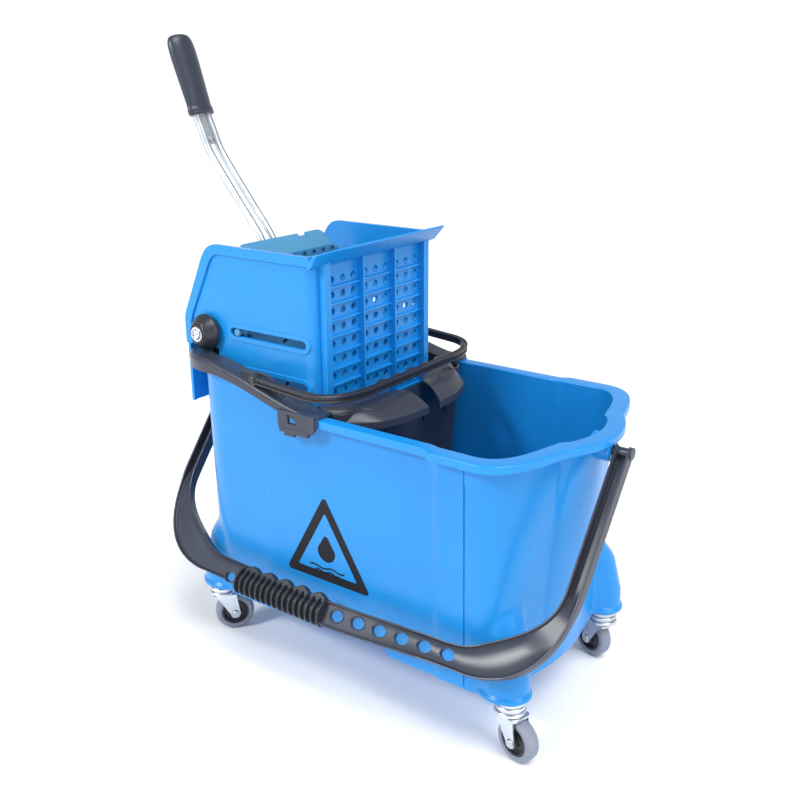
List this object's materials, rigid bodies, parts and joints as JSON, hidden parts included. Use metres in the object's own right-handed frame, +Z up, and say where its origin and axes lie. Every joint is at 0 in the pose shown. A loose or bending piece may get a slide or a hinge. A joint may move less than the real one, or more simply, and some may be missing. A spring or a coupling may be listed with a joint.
{
  "type": "mop bucket with wringer",
  "caption": "Wheeled plastic cleaning bucket with a carrying bail, a lift-out inner bucket and a lever-operated side-press mop wringer.",
  "frame": {"origin": "on the floor, in the middle of the footprint of the whole object with its lever raised", "axes": "+X towards the pouring end, +Y towards the left side seen by someone standing at the lever, +Z up"},
  "size_m": [0.65, 0.3318, 0.7451],
  "materials": {
    "blue_plastic": "moulded bright blue, satin gloss",
    "press_plate_blue": "moulded blue, slightly paler and duller",
    "grey_plastic": "moulded dark bluish grey, satin",
    "black_plastic": "moulded near-black, satin",
    "zinc_steel": "bright zinc plating",
    "grey_tyre": "grey non-marking rubber"
  },
  "bodies": {
    "bucket": {"bucket_body": "blue_plastic", "bail_pivot_rear": "grey_plastic", "bail_pivot_front": "grey_plastic", "caster_rear_right_stem": "zinc_steel", "caster_front_right_stem": "zinc_steel", "caster_front_left_stem": "zinc_steel", "caster_rear_left_stem": "zinc_steel"},
    "carrying_bail": {"bucket_bail": "grey_plastic", "bail_grip": "grey_plastic"},
    "inner_bucket": {"inner_bucket": "grey_plastic", "inner_bail_pin_right": "black_plastic", "inner_bail_pin_left": "black_plastic"},
    "inner_bucket_bail": {"inner_bail": "black_plastic"},
    "wringer": {"wringer_frame": "blue_plastic", "return_spring_right": "zinc_steel", "return_spring_left": "zinc_steel"},
    "press": {"press_plate": "press_plate_blue", "guide_pin_upper_right": "blue_plastic", "guide_pin_upper_left": "blue_plastic", "guide_pin_lower_right": "blue_plastic", "guide_pin_lower_left": "blue_plastic"},
    "lever": {"lever_rod": "zinc_steel", "lever_grip": "grey_plastic", "lever_web": "zinc_steel", "lever_web_screw": "zinc_steel", "lever_shaft": "zinc_steel", "press_cam_right": "zinc_steel", "press_cam_left": "zinc_steel", "pivot_bush_right": "black_plastic", "pivot_bush_left": "black_plastic", "pivot_washer_right": "zinc_steel", "pivot_washer_left": "zinc_steel", "pivot_screw_right": "zinc_steel", "pivot_screw_left": "zinc_steel"},
    "fork_rear_right": {"caster_rear_right_fork": "zinc_steel", "caster_rear_right_axle": "zinc_steel"},
    "wheel_rear_right": {"caster_rear_right_wheel": "black_plastic", "caster_rear_right_tyre": "grey_tyre"},
    "fork_front_right": {"caster_front_right_fork": "zinc_steel", "caster_front_right_axle": "zinc_steel"},
    "wheel_front_right": {"caster_front_right_wheel": "black_plastic", "caster_front_right_tyre": "grey_tyre"},
    "fork_front_left": {"caster_front_left_fork": "zinc_steel", "caster_front_left_axle": "zinc_steel"},
    "wheel_front_left": {"caster_front_left_wheel": "black_plastic", "caster_front_left_tyre": "grey_tyre"},
    "fork_rear_left": {"caster_rear_left_fork": "zinc_steel", "caster_rear_left_axle": "zinc_steel"},
    "wheel_rear_left": {"caster_rear_left_wheel": "black_plastic", "caster_rear_left_tyre": "grey_tyre"}
  },
  "joints": [
    {"name": "inner_bucket_lift", "type": "slide", "parent": "bucket", "child": "inner_bucket", "axis": [0, 0, 1], "range_m": [0, 0.15]},
    {"name": "wringer_lift", "type": "slide", "parent": "inner_bucket", "child": "wringer", "axis": [0, 0, 1], "range_m": [0, 0.15]},
    {"name": "lever_press", "type": "hinge", "parent": "wringer", "child": "lever", "pos_m": [-0.17217, 0.01238, 0.407], "axis": [0, -1, 0], "range_deg": [0, 58], "stiffness_Nm_per_rad": 0.8, "springref_deg": -45.84},
    {"name": "press_slide", "type": "slide", "parent": "wringer", "child": "press", "axis": [1, 0, 0], "range_m": [0, 0.056]},
    {"name": "inner_bail_swing", "type": "hinge", "parent": "inner_bucket", "child": "inner_bucket_bail", "pos_m": [-0.06817, 0.01238, 0.3735], "axis": [0, -1, 0], "range_deg": [0, 45]},
    {"name": "carrying_bail_swing", "type": "hinge", "parent": "bucket", "child": "carrying_bail", "pos_m": [0.03683, 0.01238, 0.327], "axis": [-1, 0, 0], "range_deg": [0, 100]},
    {"name": "caster_rear_right_swivel", "type": "hinge", "parent": "bucket", "child": "fork_rear_right", "pos_m": [-0.17997, -0.10012, 0.055], "axis": [0, 0, 1], "continuous": true},
    {"name": "caster_rear_right_roll", "type": "hinge", "parent": "fork_rear_right", "child": "wheel_rear_right", "pos_m": [-0.17129, -0.08978, 0.025], "axis": [-0.766, 0.6428, 0], "continuous": true},
    {"name": "caster_front_right_swivel", "type": "hinge", "parent": "bucket", "child": "fork_front_right", "pos_m": [0.25363, -0.10012, 0.055], "axis": [0, 0, 1], "continuous": true},
    {"name": "caster_front_right_roll", "type": "hinge", "parent": "fork_front_right", "child": "wheel_front_right", "pos_m": [0.26667, -0.10361, 0.025], "axis": [0.2588, 0.9659, 0], "continuous": true},
    {"name": "caster_front_left_swivel", "type": "hinge", "parent": "bucket", "child": "fork_front_left", "pos_m": [0.25363, 0.12488, 0.055], "axis": [0, 0, 1], "continuous": true},
    {"name": "caster_front_left_roll", "type": "hinge", "parent": "fork_front_left", "child": "wheel_front_left", "pos_m": [0.24094, 0.1295, 0.025], "axis": [-0.342, -0.9397, 0], "continuous": true},
    {"name": "caster_rear_left_swivel", "type": "hinge", "parent": "bucket", "child": "fork_rear_left", "pos_m": [-0.17997, 0.12488, 0.055], "axis": [0, 0, 1], "continuous": true},
    {"name": "caster_rear_left_roll", "type": "hinge", "parent": "fork_rear_left", "child": "wheel_rear_left", "pos_m": [-0.19221, 0.11917, 0.025], "axis": [0.4226, -0.9063, 0], "continuous": true}
  ],
  "couplings": [
    {"joint": "press_slide", "follows": "lever_press", "m_per_rad": 0.055}
  ]
}
